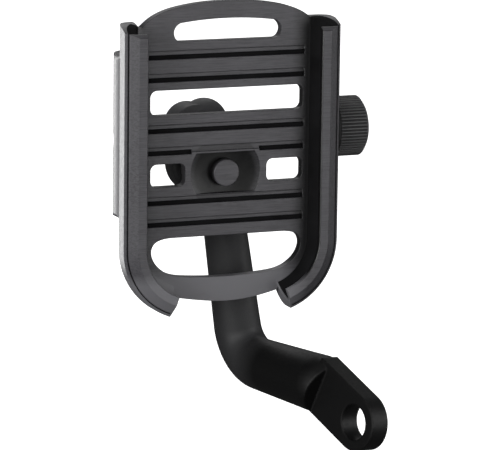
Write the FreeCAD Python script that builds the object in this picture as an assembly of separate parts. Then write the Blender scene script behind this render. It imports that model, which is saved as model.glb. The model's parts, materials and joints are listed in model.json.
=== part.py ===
import FreeCAD, Part
import os, math
from FreeCAD import Vector as V

os.makedirs("parts", exist_ok=True)

# ---------------------------------------------------------------- driving dimensions (mm)
# Head frame: X across the head, Y backwards, Z up, origin on the centre pin axis at the
# plate's front face.  Everything is moved at the end so that the mirror eye is the origin.
PLATE_T = 3.0            # plate thickness
EDGE_X = 29.5            # half width of the plate at its free edge
JAW_GAP = 0.4            # gap between the plate edge and the movable jaw
JAW_OUT = 35.35          # outer wall of a jaw
RIDGE_X = 31.3           # ridge between the flat lip band and its bevel
LIP_X = 28.5             # inner edge of the lip
LIP_Y = -8.0             # front of the lip
BEVEL_Y = -5.6           # back edge of the lip's bevel
LIP_T = 1.6              # lip thickness
WALL_IN = 32.6           # inner face of the jaw wall
FLOW_X = 26.2            # where the plate starts to sweep up into the jaw
BACK_R = 5.0             # outer back corner radius of a jaw
ARC_X, ARC_Z = 12.7, -21.5   # centre of a jaw's lower bend
TIP_ANGLE = 71.0         # how far the jaw follows the bend
JAW_TOP = 47.5           # top of the jaws at the back
GROOVES = [(38.5, 36.5), (31.5, 29.55), (15.75, 13.85), (8.85, 7.0), (-6.6, -8.5), (-13.4, -15.25)]
SLOT_H = 1.35            # height of each deep groove
BALL_R = 5.0
BALL_Y = 9.8             # ball centre behind the plate's front face
SEAT_R = 6.2             # outside of the ball seat
RUN = 0.05               # radial running clearance
SCREW_R, SCREW_Y, SCREW_Z = 2.0, 6.6, 11.5
TUBE_R = 3.2             # threaded draw tube
ROD_R, ROD_Y, ROD_ZU, ROD_ZL = 2.0, 6.2, 33.5, -8.5
BORE_R = 5.5             # mirror eye
EYE_W, EYE_T = 17.6, 6.2
ARM_TOP = V(4.5, 22.0, 8.0)
ARM_CORNER = V(15.1, 22.0, -64.3)
ARM_BEND_R = 11.0
ARM_FWD = V(0.20, -0.98, 0.010).normalize()
ARM_FWD_L = 45.9
EYE_L = V(0.232, -0.889, -0.394).normalize()
EYE_D = 20.0
EYE_N = V(-0.955, -0.285, 0.080)
EYE_N = (EYE_N - EYE_L * (EYE_N.dot(EYE_L))).normalize()
STEP_PT = ARM_CORNER + ARM_FWD * ARM_FWD_L
EYE_C = STEP_PT + EYE_L * EYE_D
MOVE = V(0, 0, 0) - EYE_C

OUT = {}


def P(x, z, y=0.0):
    return V(x, y, z)


def face(pts):
    return Part.Face(Part.makePolygon([V(*p) for p in pts] + [V(*pts[0])]))


def box(x0, x1, y0, y1, z0, z1):
    return Part.makeBox(x1 - x0, y1 - y0, z1 - z0, V(x0, y0, z0))


def cyl(r, a, b):
    d = b - a
    return Part.makeCylinder(r, d.Length, a, d)


def cone(r0, r1, a, b):
    d = b - a
    return Part.makeCone(r0, r1, d.Length, a, d)


def rbox(x0, x1, z0, z1, r, y0, y1):
    """A prism along Y with rounded corners in the XZ plane."""
    k = r * (1 - math.sqrt(0.5))
    e = []

    def L(a, b):
        if (b - a).Length > 1e-6:
            e.append(Part.makeLine(a, b))

    L(P(x0 + r, z0, y0), P(x1 - r, z0, y0))
    e.append(Part.Arc(P(x1 - r, z0, y0), P(x1 - k, z0 + k, y0), P(x1, z0 + r, y0)).toShape())
    L(P(x1, z0 + r, y0), P(x1, z1 - r, y0))
    e.append(Part.Arc(P(x1, z1 - r, y0), P(x1 - k, z1 - k, y0), P(x1 - r, z1, y0)).toShape())
    L(P(x1 - r, z1, y0), P(x0 + r, z1, y0))
    e.append(Part.Arc(P(x0 + r, z1, y0), P(x0 + k, z1 - k, y0), P(x0, z1 - r, y0)).toShape())
    L(P(x0, z1 - r, y0), P(x0, z0 + r, y0))
    e.append(Part.Arc(P(x0, z0 + r, y0), P(x0 + k, z0 + k, y0), P(x0 + r, z0, y0)).toShape())
    return Part.Face(Part.Wire(e)).extrude(V(0, y1 - y0, 0))


def spline(pts):
    s = Part.BSplineCurve()
    s.interpolate(pts)
    return s.toShape()


def mirror(s):
    return s.mirror(V(0, 0, 0), V(1, 0, 0))


def try_fillet(s, r, pick):
    es = [e for e in s.Edges if pick(e)]
    if not es:
        return s
    for k in (1.0, 0.6, 0.3):
        try:
            f = s.makeFillet(r * k, es)
            if f.isValid() and f.Volume > 0.5 * s.Volume:
                return f
        except Exception:
            pass
    return s


def keep(name, s):
    if s.ShapeType != "Solid":
        ss = s.Solids
        s = ss[0] if len(ss) == 1 else Part.makeCompound(ss)
    OUT[name] = s


# ---------------------------------------------------------------- jaw section (right side)
def jaw_section(xi):
    """Closed section in the XY plane, from xi outwards, at Z = 0."""
    c = WALL_IN - FLOW_X                      # radius of the inside sweep
    cy = -c
    y_i = cy + math.sqrt(max(c * c - (xi - FLOW_X) ** 2, 0.0)) if xi > FLOW_X else 0.0
    k = math.sqrt(0.5)
    e = []

    def L(a, b):
        e.append(Part.makeLine(V(a[0], a[1], 0), V(b[0], b[1], 0)))

    L((xi, y_i), (xi, PLATE_T))
    L((xi, PLATE_T), (JAW_OUT - BACK_R, PLATE_T)) if xi < JAW_OUT - BACK_R - 1e-6 else None
    a0 = (JAW_OUT - BACK_R, PLATE_T)
    cx, ccy = JAW_OUT - BACK_R, PLATE_T - BACK_R
    if xi >= JAW_OUT - BACK_R:
        # the back corner starts part of the way round
        e.pop()
        yb = ccy + math.sqrt(BACK_R ** 2 - (xi - cx) ** 2)
        L((xi, y_i), (xi, yb))
        a0 = (xi, yb)
    th0 = math.atan2(a0[1] - ccy, a0[0] - cx)
    thm = th0 / 2
    e.append(Part.Arc(V(a0[0], a0[1], 0), V(cx + BACK_R * math.cos(thm), ccy + BACK_R * math.sin(thm), 0),
                      V(JAW_OUT, ccy, 0)).toShape())
    L((JAW_OUT, ccy), (JAW_OUT, BEVEL_Y))
    L((JAW_OUT, BEVEL_Y), (RIDGE_X, LIP_Y))
    L((RIDGE_X, LIP_Y), (LIP_X + 0.3, LIP_Y))
    L((LIP_X + 0.3, LIP_Y), (LIP_X, LIP_Y + 0.3))
    L((LIP_X, LIP_Y + 0.3), (LIP_X, LIP_Y + LIP_T))
    L((LIP_X, LIP_Y + LIP_T), (WALL_IN, LIP_Y + LIP_T))
    th1 = math.atan2(y_i - cy, xi - FLOW_X) if xi > FLOW_X else math.pi / 2
    thm = th1 / 2
    xs, ys = (xi, y_i) if xi > FLOW_X else (FLOW_X, 0.0)
    e.append(Part.Arc(V(WALL_IN, LIP_Y + LIP_T, 0), V(FLOW_X + c * math.cos(thm), cy + c * math.sin(thm), 0),
                      V(xs, ys, 0)).toShape())
    if xi < FLOW_X:
        L((FLOW_X, 0), (xi, 0))
    return Part.Face(Part.Wire(Part.__sortEdges__(e)))


def edge_section():
    """The free edge of the plate, swept up like the start of a jaw."""
    c = WALL_IN - FLOW_X
    y_i = -c + math.sqrt(c * c - (EDGE_X - FLOW_X) ** 2)
    thm = (math.pi / 2 + math.atan2(y_i + c, EDGE_X - FLOW_X)) / 2
    e = [Part.makeLine(V(25.8, 0, 0), V(FLOW_X, 0, 0)),
         Part.Arc(V(FLOW_X, 0, 0), V(FLOW_X + c * math.cos(thm), -c + c * math.sin(thm), 0), V(EDGE_X, y_i, 0)).toShape(),
         Part.makeLine(V(EDGE_X, y_i, 0), V(EDGE_X, PLATE_T, 0)),
         Part.makeLine(V(EDGE_X, PLATE_T, 0), V(25.8, PLATE_T, 0)),
         Part.makeLine(V(25.8, PLATE_T, 0), V(25.8, 0, 0))]
    return Part.Face(Part.Wire(e))


def sweep(sec, top, ang=TIP_ANGLE):
    s = sec.copy()
    s.translate(V(0, 0, ARC_Z))
    a = s.extrude(V(0, 0, top - ARC_Z))
    b = s.revolve(V(ARC_X, 0, ARC_Z), V(0, 1, 0), ang)
    return a.fuse(b).removeSplitter()


# The tops of the jaws fall away towards the lip.
_t = [(14.0, JAW_TOP), (1.5, JAW_TOP), (-0.9, 47.1), (-3.2, 46.4), (-5.4, 45.4), (-7.0, 44.5), (-8.6, 43.2)]
_e = [spline([V(-60, y, z) for y, z in _t[1:]]), Part.makeLine(V(-60, 14, JAW_TOP), V(-60, 1.5, JAW_TOP)),
      Part.makeLine(V(-60, -8.6, 43.2), V(-60, -20, 43.2)), Part.makeLine(V(-60, -20, 43.2), V(-60, -20, 60)),
      Part.makeLine(V(-60, -20, 60), V(-60, 14, 60)), Part.makeLine(V(-60, 14, 60), V(-60, 14, JAW_TOP))]
TOP_CUT = Part.Face(Part.Wire(Part.__sortEdges__(_e))).extrude(V(120, 0, 0))

# ---------------------------------------------------------------- plate
arch = [(28.8, 45.6), (28.0, 46.3), (26.4, 47.7), (22.7, 49.9), (19.0, 51.2), (14.7, 52.1), (10.6, 52.7), (6.5, 53.05), (0, 53.25)]
arch_pts = [P(-x + 0.55, z) for x, z in arch] + [P(x + 0.55, z) for x, z in reversed(arch[:-1])]
bot = [(-ARC_X - 4.0, -38.2), (-9.0, -39.5), (0, -40.35), (9.0, -39.75), (17.6, -37.9)]
outline = [
    spline(arch_pts),
    Part.makeLine(P(29.35, 45.6), P(28.8, -24)),
    Part.makeLine(P(28.8, -24), P(17.6, -37.9)),
    spline([P(x, z) for x, z in bot]),
    Part.makeLine(P(*bot[0]), P(-26.0, -30.9)),
    Part.makeLine(P(-26.0, -30.9), P(-27.5, -21.5)),
    Part.makeLine(P(-27.5, -21.5), P(-27.5, 45.6)),
    Part.makeLine(P(-27.5, 45.6), P(-28.25, 45.6)),
]
plate = Part.Face(Part.Wire(Part.__sortEdges__(outline))).extrude(V(0, PLATE_T, 0))

right_jaw = sweep(jaw_section(25.6), 52).cut(TOP_CUT)
# the plate's free edge follows the same lower bend as the jaw
left_edge = mirror(sweep(edge_section(), 45.9, 74))
# nothing of the sheet may stand above the swept surface near its sides
for sgn in (1, -1):
    c = WALL_IN - FLOW_X
plate = plate.common(box(-27.4, 27.4, -1, 4, -60, 60).fuse(box(-28.8, 28.8, 0, PLATE_T, 20, 60)))
body = plate.fuse([right_jaw, left_edge])

# openings
slot_arch = [P(-17.6, 44.6), P(-17.2, 42.6), P(-15.2, 41.7), P(15.2, 41.7), P(17.2, 42.6), P(17.6, 44.6), P(16.6, 46.7),
             P(14.6, 47.5), P(9.0, 48.1), P(0, 48.45), P(-9.0, 48.1), P(-14.6, 47.5), P(-16.6, 46.7), P(-17.6, 44.6)]
e = [Part.makeLine(P(-15.2, 41.7), P(15.2, 41.7)), spline([P(15.2, 41.7), P(17.0, 42.5), P(17.7, 44.5), P(16.7, 46.6), P(14.6, 47.45)]),
     spline([P(14.6, 47.45), P(9.0, 48.05), P(0, 48.4), P(-9.0, 48.05), P(-14.6, 47.45)]),
     spline([P(-14.6, 47.45), P(-16.7, 46.6), P(-17.7, 44.5), P(-17.0, 42.5), P(-15.2, 41.7)])]
cut_arch = Part.Face(Part.Wire(Part.__sortEdges__(e))).extrude(V(0, 6, 0))
cut_arch.translate(V(0.3, -1, -0.5))
cut_slot = rbox(-24.9, 25.5, 18.65, 26.4, 2.2, -1, 5)
cut_r = rbox(13.6, 25.5, -3.5, 3.6, 2.0, -1, 5)
cut_l = rbox(-24.7, -13.3, -3.5, 3.6, 2.0, -1, 5)
big = [(18.0, -19.5), (21.6, -19.9), (24.0, -21.2), (24.8, -22.9), (24.2, -26.2), (21.9, -29.0), (18.2, -31.1), (13.1, -32.0), (5.4, -32.5), (0, -32.6)]
e = [Part.makeLine(P(-18, -19.5), P(18, -19.5)),
     spline([P(x, z) for x, z in big] + [P(-x, z) for x, z in reversed(big[:-1])])]
cut_big = Part.Face(Part.Wire(Part.__sortEdges__(e))).extrude(V(0, 8, 0))
cut_big.translate(V(0.6, -3, 0))
body = body.cut(cut_arch).cut(cut_slot).cut(cut_r).cut(cut_l).cut(cut_big)

# stepped grooves: a shallow ledge above a deep narrow channel
strips = []
for zu, zd in GROOVES:
    ledge = box(-27.2, 25.9, -0.5, 0.45, zd, zu)
    spans = [(-27.2, 25.9)] if zd != 7.0 else [(-27.2, -11.2), (11.2, 25.9)]
    body = body.cut(ledge)
    for xa, xb in spans:
        body = body.cut(box(xa, xb, -0.5, 1.7, zd - SLOT_H / 2, zd + SLOT_H / 2))
        strips.append(box(xa + 0.2, xb - 0.2, 0.95, 1.7, zd - SLOT_H / 2 + 0.03, zd + SLOT_H / 2 - 0.03))
# rounded recess round the centre pin, with flat top and bottom
dish = cyl(11.5, V(0, -1, 0), V(0, 3, 0)).common(Part.makeSphere(38.0, V(0, 2.15 - 38.0, 0))).common(box(-12, 12, -1, 3, -6.35, 6.35))
body = body.cut(dish)

# rear of the casting: three cross ribs and the ball socket
rib_c = box(-23.0, 31.0, 2.5, 10.5, SCREW_Z - 4.2, SCREW_Z + 4.2)
rib_u = box(-23.0, 22.0, 2.5, 9.4, ROD_ZU - 3.4, ROD_ZU + 3.4)
rib_l = box(-23.0, 22.0, 2.5, 9.4, ROD_ZL - 3.4, ROD_ZL + 3.4)


def soften(s, r):
    return try_fillet(s, r, lambda e: e.BoundBox.YMin > 8.5 or (e.BoundBox.XMin > 20.5 and e.BoundBox.YLength > 4))


rib_c, rib_u, rib_l = soften(rib_c, 1.6), soften(rib_u, 1.6), soften(rib_l, 1.6)
nose = cyl(4.2, V(20, SCREW_Y, SCREW_Z), V(35.5, SCREW_Y, SCREW_Z))
boss = cyl(9.6, V(0, 2.5, 0), V(0, BALL_Y + 2.6, 0))
rear_web = box(-6, 6, 2.5, 7.5, -16, 30)
web_up = box(-4.2, -1.2, 2.5, 6.5, 14, 19).fuse(box(1.2, 4.2, 2.5, 6.5, 14, 19))
body = body.fuse([rib_c, rib_u, rib_l, nose, boss])
body = body.cut(cut_slot).cut(cut_r).cut(cut_l)
# socket for the ball seat
body = body.cut(Part.makeSphere(SEAT_R + RUN, V(0, BALL_Y, 0)))
# draw tube bore, screw bore and rod bores
body = body.cut(cyl(TUBE_R + RUN, V(-24, SCREW_Y, SCREW_Z), V(9.5, SCREW_Y, SCREW_Z)))
body = body.cut(cyl(SCREW_R + 0.35, V(9, SCREW_Y, SCREW_Z), V(29, SCREW_Y, SCREW_Z)))
body = body.cut(cyl(SCREW_R + RUN, V(28, SCREW_Y, SCREW_Z), V(38, SCREW_Y, SCREW_Z)))
for z in (ROD_ZU, ROD_ZL):
    body = body.cut(cyl(ROD_R + RUN, V(-24, ROD_Y, z), V(16, ROD_Y, z)))
# centre pin hole
PIN_R = 4.2
body = body.cut(cyl(PIN_R, V(0, -1, 0), V(0, 2.9, 0)))
body = body.removeSplitter()

pin = cyl(PIN_R, V(0, -0.9, 0), V(0, 2.9, 0))
pin = try_fillet(pin, 0.35, lambda e: e.BoundBox.YMax < -0.5)
keep("centre_pin", pin)
keep("grip_strips", Part.makeCompound(strips))

# thin rubber lining of the fixed jaw
def pad(a0, a1):
    c = WALL_IN - FLOW_X
    r0, r1 = c - 0.7, c + 1.9

    def q(r, a):
        return V(FLOW_X + r * math.cos(math.radians(a)), -c + r * math.sin(math.radians(a)), 0)
    m = (a0 + a1) / 2
    e = [Part.Arc(q(r1, a0), q(r1, m), q(r1, a1)).toShape(), Part.makeLine(q(r1, a1), q(r0, a1)),
         Part.Arc(q(r0, a1), q(r0, m), q(r0, a0)).toShape(), Part.makeLine(q(r0, a0), q(r1, a0))]
    return sweep(Part.Face(Part.Wire(e)), 47.3, 69.5).cut(TOP_CUT)


lining = pad(1, 76)
keep("main_body", body.cut(lining))
keep("fixed_jaw_pad", lining)

# ---------------------------------------------------------------- movable jaw
XI = EDGE_X + JAW_GAP
jaw = sweep(jaw_section(XI), 52).cut(TOP_CUT)
# carrier block behind the wall: takes the rods and the draw tube
blk = rbox(24.2, 35.75, -12.5, 38.0, 2.0, 3.25, 10.6)
blk2 = rbox(XI, 35.75, -12.5, 38.0, 2.0, -2.0, 4.0)
blk = blk.fuse(blk2)
blk = blk.common(Part.makeCylinder(9.0, 60, V(26.75, 1.6, -20), V(0, 0, 1)).fuse(box(20, 29, -3, 11, -20, 42)))
c = WALL_IN - FLOW_X
hollow = Part.makeCylinder(c, 80, V(FLOW_X, -c, -30), V(0, 0, 1))
blk = blk.cut(hollow)
jaw = jaw.fuse(blk).removeSplitter()
jaw = jaw.cut(cyl(TUBE_R, V(20, SCREW_Y, SCREW_Z), V(33.2, SCREW_Y, SCREW_Z)))
jaw = jaw.cut(cyl(3.45, V(33.1, SCREW_Y, SCREW_Z), V(40, SCREW_Y, SCREW_Z)))
for z in (ROD_ZU, ROD_ZL):
    jaw = jaw.cut(cyl(ROD_R, V(20, ROD_Y, z), V(33.0, ROD_Y, z)))
lining = pad(1, 50)
keep("movable_jaw", mirror(jaw.cut(lining)))
keep("movable_jaw_pad", mirror(lining))

for nm, z in (("guide_rod_upper", ROD_ZU), ("guide_rod_lower", ROD_ZL)):
    r = cyl(ROD_R - 0.01, V(-33.0, ROD_Y, z), V(14.5, ROD_Y, z))
    r = try_fillet(r, 0.4, lambda e: e.BoundBox.XMin > 14)
    keep(nm, r)
tube = cyl(TUBE_R, V(-33.1, SCREW_Y, SCREW_Z), V(8.5, SCREW_Y, SCREW_Z)).cut(cyl(SCREW_R + RUN, V(-35, SCREW_Y, SCREW_Z), V(9, SCREW_Y, SCREW_Z)))
keep("draw_tube", tube)

# ---------------------------------------------------------------- screw and knob
A = lambda x: V(x, SCREW_Y, SCREW_Z)
screw = cyl(SCREW_R, A(-31.5), A(45.6))
for i in range(10):                       # thread relief rings at the free end
    x = -30.5 + i * 2.0
    ring = cyl(SCREW_R + 1, A(x), A(x + 0.5)).cut(cyl(SCREW_R - 0.25, A(x - 0.1), A(x + 0.6)))
    screw = screw.cut(ring)
keep("lead_screw", screw)
KN_X0, KN_X1, KN_R = 37.0, 47.4, 9.45
N = 56
ring_pts = []
for i in range(N):
    a0 = 2 * math.pi * i / N
    st = 2 * math.pi / N
    for rr, k in ((KN_R - 0.42, 0.0), (KN_R - 0.42, 0.14), (KN_R, 0.40), (KN_R, 0.74)):
        t = a0 + st * k
        ring_pts.append((KN_X0, SCREW_Y + rr * math.cos(t), SCREW_Z + rr * math.sin(t)))
toothed = face([(KN_X0 + 0.75, y, z) for x, y, z in ring_pts]).extrude(V(KN_X1 - KN_X0 - 1.6, 0, 0))
# turned profile: plain chamfers beyond the knurl, neck towards the head, shallow recess in the end face
R0 = KN_R - 0.52
prof = [(36.35, SCREW_R), (36.35, 4.6), (KN_X0, 4.6), (KN_X0, R0 - 0.7), (KN_X0 + 0.7, R0), (KN_X1 - 0.8, R0), (KN_X1, R0 - 0.8),
        (KN_X1, 6.2), (KN_X1 - 0.6, 5.6), (KN_X1 - 0.6, 0), (45.6, 0), (45.6, SCREW_R)]
turned = face([(x, SCREW_Y, SCREW_Z + r) for x, r in prof]).revolve(A(0), V(1, 0, 0), 360)
knob = toothed.cut(cyl(5.0, A(30), A(60))).fuse(turned).removeSplitter()
grub_hole = cyl(1.0, V(43.3, SCREW_Y, SCREW_Z + SCREW_R - 0.5), V(43.3, SCREW_Y, SCREW_Z + 12))
knob = knob.cut(grub_hole)
keep("knob", knob)
grub = cyl(1.0, V(43.3, SCREW_Y, SCREW_Z + SCREW_R + 0.05), V(43.3, SCREW_Y, SCREW_Z + 7.4))
hexa = face([(43.3 + 0.5 * math.cos(k * math.pi / 3), SCREW_Y + 0.5 * math.sin(k * math.pi / 3), SCREW_Z + 6.2) for k in range(6)]).extrude(V(0, 0, 2))
keep("knob_grub_screw", grub.cut(hexa))
washer = cyl(4.3, A(35.6), A(36.35)).cut(cyl(SCREW_R, A(35), A(39)))
keep("thrust_washer", washer)

# ---------------------------------------------------------------- ball joint
seat = Part.makeSphere(SEAT_R, V(0, BALL_Y, 0)).cut(Part.makeSphere(BALL_R + RUN, V(0, BALL_Y, 0)))
seat = seat.common(box(-10, 10, BALL_Y - 5.6, BALL_Y + 3.0, -10, 10))
keep("ball_seat", seat)
ring = cyl(9.6, V(0, BALL_Y + 2.6, 0), V(0, BALL_Y + 4.0, 0)).cut(Part.makeSphere(SEAT_R + RUN, V(0, BALL_Y, 0)))
ring = try_fillet(ring, 0.6, lambda e: e.BoundBox.YMin > BALL_Y + 3.9 and e.BoundBox.XLength > 15)
for k in range(4):
    a = math.radians(45 + 90 * k)
    ring = ring.cut(cyl(0.8, V(8.0 * math.cos(a), BALL_Y + 3.2, 8.0 * math.sin(a)), V(8.0 * math.cos(a), BALL_Y + 5, 8.0 * math.sin(a))))
keep("socket_ring", ring)
HUB_F, HUB_B, HUB_R = 17.5, 26.0, 10.5
stud = Part.makeSphere(BALL_R, V(0, BALL_Y, 0)).fuse([
    cyl(2.2, V(0, BALL_Y, 0), V(0, HUB_F - 1.1, 0)), cyl(4.6, V(0, HUB_F - 1.1, 0), V(0, HUB_F - 0.05, 0)),
    cyl(3.0, V(0, HUB_F - 0.2, 0), V(0, 31.5, 0))]).removeSplitter()
keep("ball_stud", stud)


def hexprism(af, y0, y1):
    r = af / math.sqrt(3)
    return face([(r * math.cos(k * math.pi / 3), y0, r * math.sin(k * math.pi / 3)) for k in range(6)]).extrude(V(0, y1 - y0, 0))


wave = cyl(5.2, V(0, HUB_B + 0.05, 0), V(0, HUB_B + 0.85, 0)).cut(cyl(3.05, V(0, 20, 0), V(0, 40, 0)))
keep("spring_washer", wave)
nut = hexprism(10.0, HUB_B + 0.9, 31.0).common(Part.makeSphere(7.6, V(0, 25.6, 0)).fuse(cyl(5.2, V(0, 20, 0), V(0, 40, 0))))
nut = nut.cut(cyl(3.0, V(0, 20, 0), V(0, 40, 0)))
keep("clamp_nut", nut)

# ---------------------------------------------------------------- arm
d1 = (ARM_CORNER - ARM_TOP).normalize()
turn = math.acos(max(-1, min(1, d1.dot(ARM_FWD))))
tl = ARM_BEND_R * math.tan(turn / 2)
B0 = ARM_CORNER - d1 * tl
B1 = ARM_CORNER + ARM_FWD * tl
R_T, R_B, R_C, R_E = 6.2, 7.5, 8.2, 9.25
axis = d1.cross(ARM_FWD).normalize()
cen = B0 + (ARM_FWD - d1 * (ARM_FWD.dot(d1))).normalize() * ARM_BEND_R
mid = FreeCAD.Rotation(axis, math.degrees(turn) / 2).multVec(B0 - cen) + cen
path = Part.Wire(Part.Arc(B0, mid, B1).toShape())
bend = path.makePipeShell([Part.Wire(Part.makeCircle(R_B, B0, d1)), Part.Wire(Part.makeCircle(R_C, B1, ARM_FWD))], True, False)
END = STEP_PT - ARM_FWD * 2.0
arm = Part.makeSphere(R_T, ARM_TOP).fuse([cone(R_T, R_B, ARM_TOP, B0), bend, cone(R_C, R_E - 0.2, B1, END)])
# domed head of the casting over the pin
dome = Part.makeSphere(7.5, V(1.4, 22.3, 12.4))
arm = arm.fuse(dome)
arm = arm.fuse(Part.makeSphere(R_E - 0.2, END))
# hub on the pin axis and the smaller lobe beside the top end
hub = cyl(HUB_R, V(0, HUB_F, 0), V(0, HUB_B, 0))
hub = try_fillet(hub, 1.2, lambda e: e.BoundBox.YLength < 0.1)
lobe = cyl(7.2, V(-2.7, 18.5, 11.2), V(-2.7, 29.5, 11.2))
lobe = try_fillet(lobe, 2.2, lambda e: e.BoundBox.YMin > 28)
arm = arm.fuse([hub, lobe])
# keep the casting behind the swinging head
arm = arm.cut(box(-12, 16, 8, HUB_F, -12.5, 22))
# mirror eye: a flat tongue with a through hole
side = EYE_L.cross(EYE_N).normalize()


def E(a, b, c):
    return STEP_PT + EYE_L * a + side * b + EYE_N * c


h = EYE_T / 2
w = EYE_W / 2
q = [E(-2.2, -w, -h), E(EYE_D, -w, -h), E(EYE_D + w, 0, -h), E(EYE_D, w, -h), E(-2.2, w, -h)]
wire = Part.Wire([Part.makeLine(q[0], q[1]), Part.Arc(q[1], q[2], q[3]).toShape(), Part.makeLine(q[3], q[4]), Part.makeLine(q[4], q[0])])
eye = Part.Face(wire).extrude(EYE_N * EYE_T)
# the round bar ends square-on just before the tongue
slab_hi = Part.Face(Part.makePolygon([E(1.5, -20, h), E(40, -20, h), E(40, 20, h), E(1.5, 20, h), E(1.5, -20, h)])).extrude(EYE_N * 20)
slab_lo = Part.Face(Part.makePolygon([E(1.5, -20, -h), E(40, -20, -h), E(40, 20, -h), E(1.5, 20, -h), E(1.5, -20, -h)])).extrude(EYE_N * -20)
arm = arm.cut(slab_hi).cut(slab_lo)
arm = arm.fuse(eye)
arm = arm.cut(cyl(BORE_R, EYE_C - EYE_N * 12, EYE_C + EYE_N * 12))
arm = arm.cut(cyl(3.0 + RUN, V(0, 10, 0), V(0, 40, 0)))
arm = arm.cut(cyl(6.2, V(0, HUB_B, 0), V(0, 40, 0)))
# chamfered rim of the hole
arm = arm.removeSplitter()
try:
    es = [e for e in arm.Edges if e.Curve.TypeId == 'Part::GeomCircle' and abs(e.Curve.Radius - BORE_R) < 1e-3]
    a2 = arm.makeChamfer(0.5, es)
    if a2.isValid():
        arm = a2
except Exception:
    pass
keep("arm", arm)
# set screw in the lobe, end on, seen from behind
keep("lobe_set_screw", cyl(1.9, V(-2.7, 29.5 - 3.0, 11.8), V(-2.7, 29.5 - 0.6, 11.8)))
hx = face([(-2.7 + 1.0 * math.cos(k * math.pi / 3), 27.4, 11.8 + 1.0 * math.sin(k * math.pi / 3)) for k in range(6)]).extrude(V(0, 4, 0))
OUT["lobe_set_screw"] = OUT["lobe_set_screw"].cut(hx)
OUT["arm"] = OUT["arm"].cut(cyl(1.9, V(-2.7, 26.5, 11.8), V(-2.7, 31, 11.8)))

for name, s in OUT.items():
    s = s.copy()
    s.translate(MOVE)
    sol = s.Solids
    s.exportStep("parts/%s.step" % name)
    print(name, s.ShapeType, len(sol), "valid", s.isValid(), "vol %.1f" % s.Volume)
print("EYE_C", EYE_C, "EYE_N", EYE_N)
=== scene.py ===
import bpy, json, math
from mathutils import Vector, Matrix


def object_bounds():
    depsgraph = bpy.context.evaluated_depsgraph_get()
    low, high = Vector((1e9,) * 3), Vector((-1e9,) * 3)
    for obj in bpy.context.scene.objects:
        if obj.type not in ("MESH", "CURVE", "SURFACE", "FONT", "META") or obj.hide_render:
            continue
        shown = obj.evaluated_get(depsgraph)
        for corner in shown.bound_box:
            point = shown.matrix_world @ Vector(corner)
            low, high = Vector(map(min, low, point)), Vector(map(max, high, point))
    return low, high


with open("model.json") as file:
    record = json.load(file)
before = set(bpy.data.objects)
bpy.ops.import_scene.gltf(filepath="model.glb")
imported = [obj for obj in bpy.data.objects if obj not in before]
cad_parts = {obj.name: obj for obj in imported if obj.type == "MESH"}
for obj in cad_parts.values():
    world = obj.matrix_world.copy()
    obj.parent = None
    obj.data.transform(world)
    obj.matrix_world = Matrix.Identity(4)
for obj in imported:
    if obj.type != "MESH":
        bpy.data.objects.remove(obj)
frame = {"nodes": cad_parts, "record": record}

CAD_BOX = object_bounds()
SC = bpy.context.scene

# head frame origin: the ball's centre, brought forward to the plate's front face
_sw = next(j for j in frame["record"]["behaviour"]["joints"] if j["name"] == "head_swivel")
H0 = Vector(_sw["pos_m"]) - Vector((0, 0.0098, 0))


def hp(x, y, z):
    return H0 + Vector((x, y, z)) / 1000.0


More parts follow.
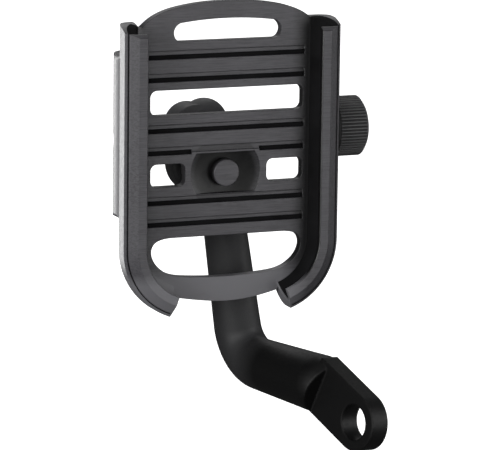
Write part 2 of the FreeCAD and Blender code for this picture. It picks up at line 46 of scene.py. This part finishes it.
# ------------------------------------------------------------------ materials
class M:
    def __init__(self, name):
        self.m = bpy.data.materials.new(name)
        self.m.use_nodes = True
        self.t = self.m.node_tree
        self.b = next(n for n in self.t.nodes if n.type == "BSDF_PRINCIPLED")

    def n(self, kind, **k):
        x = self.t.nodes.new(kind)
        for a, v in k.items():
            setattr(x, a, v)
        return x

    def l(self, a, b):
        self.t.links.new(a, b)

    def noise(self, vec, scale, detail=3.0, rough=0.55):
        x = self.n("ShaderNodeTexNoise")
        x.inputs["Scale"].default_value = scale
        x.inputs["Detail"].default_value = detail
        x.inputs["Roughness"].default_value = rough
        self.l(vec, x.inputs["Vector"])
        return x.outputs["Fac"]

    def ramp(self, fac, stops):
        x = self.n("ShaderNodeValToRGB")
        e = x.color_ramp.elements
        while len(e) < len(stops):
            e.new(0.5)
        for i, (p, c) in enumerate(stops):
            e[i].position = p
            e[i].color = (c[0], c[1], c[2], 1)
        self.l(fac, x.inputs["Fac"])
        return x.outputs["Color"]

    def rng(self, fac, lo, hi, a=0.0, b=1.0):
        x = self.n("ShaderNodeMapRange")
        x.inputs["From Min"].default_value = a
        x.inputs["From Max"].default_value = b
        x.inputs["To Min"].default_value = lo
        x.inputs["To Max"].default_value = hi
        self.l(fac, x.inputs["Value"])
        return x.outputs["Result"]

    def obj(self):
        return self.n("ShaderNodeTexCoord").outputs["Object"]

    def stretch(self, vec, s):
        x = self.n("ShaderNodeMapping")
        x.inputs["Scale"].default_value = s
        self.l(vec, x.inputs["Vector"])
        return x.outputs["Vector"]

    def mix(self, fac, a, b, mode="MIX"):
        x = self.n("ShaderNodeMix", data_type="RGBA", blend_type=mode)
        self._in(x.inputs[0], fac)
        self._in(x.inputs[6], a)
        self._in(x.inputs[7], b)
        return x.outputs[2]

    def _in(self, s, v):
        if isinstance(v, (int, float)):
            s.default_value = v
        elif isinstance(v, tuple):
            s.default_value = (v[0], v[1], v[2], 1)
        else:
            self.l(v, s)

    def edge(self, radius, power=2.0):
        """0 on flats, towards 1 on edges: the angle between the rounded and the true normal; the mask of edge wear,
        and on the cast body of painted dark edge shade.
        """
        bv = self.n("ShaderNodeBevel", samples=6)
        bv.inputs["Radius"].default_value = radius
        g = self.n("ShaderNodeNewGeometry")
        d = self.n("ShaderNodeVectorMath", operation="DOT_PRODUCT")
        self.l(bv.outputs["Normal"], d.inputs[0])
        self.l(g.outputs["Normal"], d.inputs[1])
        return self.rng(d.outputs["Value"], 1.0, 0.0, 0.72, 0.995)

    def bump(self, h, strength, dist, normal=None):
        x = self.n("ShaderNodeBump")
        x.inputs["Strength"].default_value = strength
        x.inputs["Distance"].default_value = dist
        self.l(h, x.inputs["Height"])
        if normal is not None:
            self.l(normal, x.inputs["Normal"])
        return x.outputs["Normal"]

    def painted_crevice_shade(self, dist, lo, hi, floor=0.25):
        """floor in deep recesses, 1 on open faces: painted shade, a darkening by ambient occlusion put into the base
        colour, chosen for the look.
        """
        x = self.n("ShaderNodeAmbientOcclusion", samples=8)
        x.inputs["Distance"].default_value = dist
        return self.rng(x.outputs["AO"], floor, 1.0, lo, hi)

    def pin_pocket_shade(self):
        """1 inside the recess round the pin, growing with depth, 0 on the plate: the mask of the painted shade in that
        recess.
        """
        v = self.n("ShaderNodeVectorMath", operation="SUBTRACT")
        self.l(self.obj(), v.inputs[0])
        v.inputs[1].default_value = H0
        s = self.n("ShaderNodeSeparateXYZ")
        self.l(v.outputs[0], s.inputs[0])
        flat = self.n("ShaderNodeVectorMath", operation="MULTIPLY")
        self.l(v.outputs[0], flat.inputs[0])
        flat.inputs[1].default_value = (1, 0, 1)
        ln = self.n("ShaderNodeVectorMath", operation="LENGTH")
        self.l(flat.outputs[0], ln.inputs[0])
        near = self.rng(ln.outputs["Value"], 1.0, 0.0, 0.0116, 0.0121)
        deep = self.rng(s.outputs["Y"], 0.0, 1.0, 0.00015, 0.0009)
        mu = self.n("ShaderNodeMath", operation="MULTIPLY")
        self.l(near, mu.inputs[0])
        self.l(deep, mu.inputs[1])
        return mu.outputs[0]

    def forward(self):
        """0 on the arm's upright, 1 along the bar and the eye, which are given a darker base colour as painted shade,
        for the look.
        """
        s = self.n("ShaderNodeSeparateXYZ")
        self.l(self.obj(), s.inputs[0])
        return self.rng(s.outputs["Y"], 1.0, 0.0, H0.y + 0.002, H0.y + 0.013)

    def head(self, axis, lo, hi):
        """0 below lo, 1 above hi, along one axis from the head's origin, in metres."""
        s = self.n("ShaderNodeSeparateXYZ")
        self.l(self.obj(), s.inputs[0])
        k = "XYZ".index(axis)
        return self.rng(s.outputs[axis], 0.0, 1.0, H0[k] + lo, H0[k] + hi) if lo < hi else self.rng(s.outputs[axis], 1.0, 0.0, H0[k] + hi, H0[k] + lo)

    def times(self, a, b):
        mu = self.n("ShaderNodeMath", operation="MULTIPLY")
        self.l(a, mu.inputs[0])
        self.l(b, mu.inputs[1])
        return mu.outputs[0]

    def inward(self):
        """1 where the surface of the fixed jaw faces the phone: the mask of the painted shade on that jaw."""
        s = self.n("ShaderNodeSeparateXYZ")
        self.l(self.n("ShaderNodeTexCoord").outputs["Normal"], s.inputs[0])
        return self.rng(s.outputs["X"], 1.0, 0.0, -0.55, -0.12)

    def round(self, radius):
        bv = self.n("ShaderNodeBevel", samples=6)
        bv.inputs["Radius"].default_value = radius
        return bv.outputs["Normal"]


def anodised(name, dark, light, rough=(0.38, 0.5), grain=9000, metallic=0.55, edge_col=(0.16, 0.16, 0.17), edge_mix=0.35, bump=0.18, spec=0.5, rad=0.00035, crevice_shade_dist=0.0, recess=False, arm_shade_and_light=False):
    m = M(name)
    o = m.obj()
    big = m.noise(o, 55, 3)
    fine = m.noise(o, grain, 2, 0.6)
    mid = m.noise(o, 900, 4, 0.6)
    col = m.ramp(big, [(0.35, dark), (0.68, light)])
    col = m.mix(m.rng(fine, 0.0, 0.35, 0.35, 0.7), col, tuple(c * 1.5 for c in light))
    ed = m.edge(rad)
    edge_wear_and_shade = m.n("ShaderNodeMath", operation="MULTIPLY")
    m.l(ed, edge_wear_and_shade.inputs[0])
    m.l(m.rng(mid, 0.1, edge_mix, 0.35, 0.7), edge_wear_and_shade.inputs[1])
    # edge wear in the edge colour; where that colour is near black, as on the cast body, it is painted shade on the
    # edges
    col = m.mix(edge_wear_and_shade.outputs[0], col, edge_col)
    if crevice_shade_dist:
        # painted shade: base colour darkened towards near black in crevices found by ambient occlusion
        col = m.mix(m.painted_crevice_shade(crevice_shade_dist, 0.45, 0.98, 0.0), (0.0010, 0.0010, 0.0011), col)
    if arm_shade_and_light:
        # painted shade: the arm's bar and eye given a near-black base colour
        col = m.mix(m.forward(), col, (0.0014, 0.0014, 0.0015))
        # painted light: the arm lighter grey from the head's centre upwards
        col = m.mix(m.head("Z", 0.000, 0.012), col, (0.060, 0.060, 0.063))
    # machining grain, then painted shade in the fixed jaw, on the plate beside it and in the pin's recess, and painted
    # light on the lower strap
    if recess:
        # faint grain of the machining, along the cradle's width
        brush = m.noise(m.stretch(o, (0.04, 1.0, 1.0)), 2600, 3, 0.7)
        col = m.mix(m.rng(brush, 0.0, 0.55, 0.42, 0.72), col, tuple(c * 1.7 for c in light))
        col = m.mix(m.rng(brush, 0.45, 0.0, 0.28, 0.50), col, tuple(c * 0.45 for c in dark))
        # painted shade: the fixed jaw's faces towards the phone darkened to near black
        col = m.mix(m.times(m.head("X", 0.0225, 0.0265), m.inward()), col, (0.0010, 0.0010, 0.0011))
        # painted shade: faces towards the phone at the lower right darkened to near black
        col = m.mix(m.times(m.times(m.head("X", 0.0150, 0.0175), m.head("Z", -0.0235, -0.0260)), m.inward()), col, (0.0010, 0.0010, 0.0011))
        # painted shade: the plate darkened towards the fixed jaw
        col = m.mix(m.times(m.head("X", 0.0215, 0.0268), m.head("Y", -0.0012, -0.0004)), col, (0.0040, 0.0040, 0.0043))
        # painted light: the lower strap given a lighter base colour
        col = m.mix(m.times(m.head("Z", -0.0285, -0.0325), m.head("X", 0.0250, 0.0190)), col, (0.095, 0.094, 0.101))
        # painted shade: the recess round the pin darkened to near black
        col = m.mix(m.pin_pocket_shade(), col, (0.0012, 0.0012, 0.0013))
    m.l(col, m.b.inputs["Base Color"])
    m.l(m.rng(mid, rough[0], rough[1], 0.3, 0.7), m.b.inputs["Roughness"])
    m.b.inputs["Metallic"].default_value = metallic
    m.b.inputs["Specular IOR Level"].default_value = spec
    m.l(m.bump(fine, bump, 0.00003, m.round(rad)), m.b.inputs["Normal"])
    return m.m


MAT = {}
# cast body: near-black edge colour as painted edge shade, painted crevice shade, and painted shade and light in the
# recess block
MAT["cast_body"] = anodised("cast_body", (0.030, 0.029, 0.032), (0.040, 0.039, 0.043), rough=(0.36, 0.46), metallic=0.0, spec=0.30, edge_col=(0.006, 0.006, 0.0065), edge_mix=0.8, crevice_shade_dist=0.008, recess=True)
# knob: painted shade in its crevices
MAT["knob"] = anodised("knob_black", (0.042, 0.042, 0.043), (0.064, 0.064, 0.065), rough=(0.40, 0.52), metallic=0.0, spec=0.30, edge_mix=0.25, edge_col=(0.06, 0.06, 0.063), crevice_shade_dist=0.0012)
# arm: painted shade on the bar and eye, painted light on its top
MAT["arm"] = anodised("arm_coat", (0.017, 0.017, 0.018), (0.024, 0.024, 0.025), rough=(0.50, 0.60), grain=4200, metallic=0.0, spec=0.25, arm_shade_and_light=True, edge_mix=1.0, edge_col=(0.13, 0.13, 0.135), bump=0.3, rad=0.0010)
MAT["black_steel"] = anodised("black_steel", (0.030, 0.030, 0.032), (0.045, 0.045, 0.048), rough=(0.30, 0.42), metallic=0.3, spec=0.45, edge_mix=0.3)


def steel(name, a, b, tint=(0.62, 0.62, 0.64)):
    m = M(name)
    o = m.obj()
    br = m.noise(m.stretch(o, (1.0, 60.0, 60.0)), 260, 3)
    sp = m.noise(o, 1800, 3)
    m.l(m.ramp(br, [(0.3, tuple(c * 0.72 for c in tint)), (0.7, tint)]), m.b.inputs["Base Color"])
    m.b.inputs["Metallic"].default_value = 1.0
    m.l(m.rng(sp, a, b, 0.3, 0.7), m.b.inputs["Roughness"])
    m.l(m.bump(br, 0.15, 0.00003, m.round(0.0002)), m.b.inputs["Normal"])
    return m.m


MAT["bright_steel"] = steel("bright_steel", 0.22, 0.36)
MAT["brass"] = steel("brass", 0.22, 0.34, (0.78, 0.57, 0.26))


def rubber(name, col, rough=(0.72, 0.86)):
    m = M(name)
    o = m.obj()
    a = m.noise(o, 2600, 4, 0.65)
    b = m.noise(o, 120, 2)
    m.l(m.ramp(b, [(0.3, tuple(c * 0.7 for c in col)), (0.7, tuple(c * 1.3 for c in col))]), m.b.inputs["Base Color"])
    m.l(m.rng(a, rough[0], rough[1], 0.3, 0.7), m.b.inputs["Roughness"])
    m.l(m.bump(a, 0.35, 0.00005, m.round(0.00015)), m.b.inputs["Normal"])
    m.b.inputs["Specular IOR Level"].default_value = 0.06
    return m.m


MAT["rubber"] = rubber("black_rubber", (0.004, 0.004, 0.0043), (0.80, 0.92))
MAT["acetal"] = rubber("acetal", (0.05, 0.05, 0.052), (0.42, 0.55))

USE = {"main_body": "cast_body", "movable_jaw": "cast_body", "centre_pin": "cast_body", "grip_strips": "rubber", "fixed_jaw_pad": "rubber",
       "movable_jaw_pad": "rubber", "guide_rod_upper": "bright_steel", "guide_rod_lower": "bright_steel", "draw_tube": "black_steel",
       "lead_screw": "black_steel", "knob": "knob", "knob_grub_screw": "black_steel", "thrust_washer": "bright_steel", "ball_seat": "acetal",
       "socket_ring": "knob", "ball_stud": "bright_steel", "spring_washer": "bright_steel", "clamp_nut": "black_steel", "arm": "arm",
       "lobe_set_screw": "black_steel"}
for node, key in USE.items():
    o = frame["nodes"][node]
    o = o if hasattr(o, "data") else bpy.data.objects[node]
    for i in range(max(1, len(o.material_slots))):
        if i < len(o.material_slots):
            o.material_slots[i].material = MAT[key]
        else:
            o.data.materials.append(MAT[key])

# ------------------------------------------------------------------ stage
lo, hi = CAD_BOX[0], CAD_BOX[1]
FLOOR_Z = lo[2] - 0.0012
bpy.ops.mesh.primitive_plane_add(size=60, location=(0, 0, FLOOR_Z))
floor = bpy.context.object
floor.name = "floor"
mf = M("floor")
fo = mf.obj()
mf.l(mf.ramp(mf.noise(fo, 1.2, 2), [(0.3, (0.86, 0.86, 0.86)), (0.7, (0.89, 0.89, 0.89))]), mf.b.inputs["Base Color"])
mf.b.inputs["Roughness"].default_value = 0.75
mf.b.inputs["Specular IOR Level"].default_value = 0.2
mf.b.inputs["Emission Color"].default_value = (1, 1, 1, 1)
mf.b.inputs["Emission Strength"].default_value = 0.96
floor.data.materials.append(mf.m)
floor.visible_diffuse = False
floor.visible_glossy = False

# ------------------------------------------------------------------ lights
W = bpy.data.worlds.new("world") if SC.world is None else SC.world
SC.world = W
W.use_nodes = True
bg = next(n for n in W.node_tree.nodes if n.type == "BACKGROUND")
bg.inputs["Color"].default_value = (1, 1, 1, 1)
bg.inputs["Strength"].default_value = 0.07


def area(name, pos, target, size, power, sy=None):
    d = bpy.data.lights.new(name, "AREA")
    d.energy = power
    d.shape = "RECTANGLE"
    d.size = size
    d.size_y = sy or size
    o = bpy.data.objects.new(name, d)
    SC.collection.objects.link(o)
    o.location = pos
    v = Vector(target) - Vector(pos)
    o.rotation_euler = v.to_track_quat("-Z", "Y").to_euler()
    o.visible_camera = False
    return o


T = hp(0, 0, 0)
area("key_front", T + Vector((-0.55, -1.05, 0.35)), T, 0.6, 7.5)
rim = area("rim_left", T + Vector((-0.55, 1.0, 0.0)), T, 0.9, 17.0)
fill = area("fill_left", T + Vector((-1.1, -0.50, 0.10)), T, 0.6, 19.0)
arm_fill = area("arm_fill", T + Vector((-0.95, -0.75, 0.05)), T, 0.8, 5.0)
arm_low = area("arm_low", T + Vector((-0.80, -0.35, -0.03)), T + Vector((0.02, 0, -0.075)), 0.25, 2.5, 0.06)
area("fill_right", T + Vector((1.0, -0.55, 0.15)), T, 0.6, 6.0)
area("top_soft", T + Vector((0.0, -0.25, 1.0)), T, 0.6, 0.7)
back = area("back_soft", T + Vector((0.25, 0.90, 0.90)), T, 0.8, 4.5)
area("low_right", T + Vector((0.50, -1.05, -0.10)), T + Vector((0, 0, -0.03)), 0.5, 3.0)


def flag(light, nodes, state):
    """A card between a light and some nodes, or a snoot that keeps it on them."""
    c = bpy.data.collections.new("flag_" + light.name)
    for node in nodes:
        c.objects.link(bpy.data.objects[node])
    light.light_linking.receiver_collection = c
    for k in c.collection_objects:
        k.light_linking.link_state = state


flag(rim, ["movable_jaw"], "INCLUDE")
flag(fill, ["arm"], "EXCLUDE")
flag(arm_fill, ["arm"], "INCLUDE")
flag(arm_low, ["arm"], "INCLUDE")

# ------------------------------------------------------------------ camera
r = Vector((0.92527819, -0.37907049, 0.01287763))
u = Vector((0.05963728, 0.17893132, 0.98205243))
f = Vector((0.37457131, 0.90790371, -0.18816798))
D = 3536.1044950623277 / 3.25
tx, ty = (225.6 - 250.0) / 3.25, (172.5 - 225.0) / 3.25
C = -(r * tx + (-u) * ty + f * D)
cd = bpy.data.cameras.new("camera")
cam = bpy.data.objects.new("camera", cd)
SC.collection.objects.link(cam)
cam.matrix_world = Matrix(((r.x, u.x, -f.x, 0), (r.y, u.y, -f.y, 0), (r.z, u.z, -f.z, 0), (0, 0, 0, 1)))
cam.location = hp(*C)
cd.sensor_fit = "HORIZONTAL"
cd.sensor_width = 36.0
cd.lens = 3536.1044950623277 * 36.0 / 500.0
cd.clip_start = 0.05
cd.clip_end = 30.0
SC.camera = cam
SC.view_settings.view_transform = "Standard"
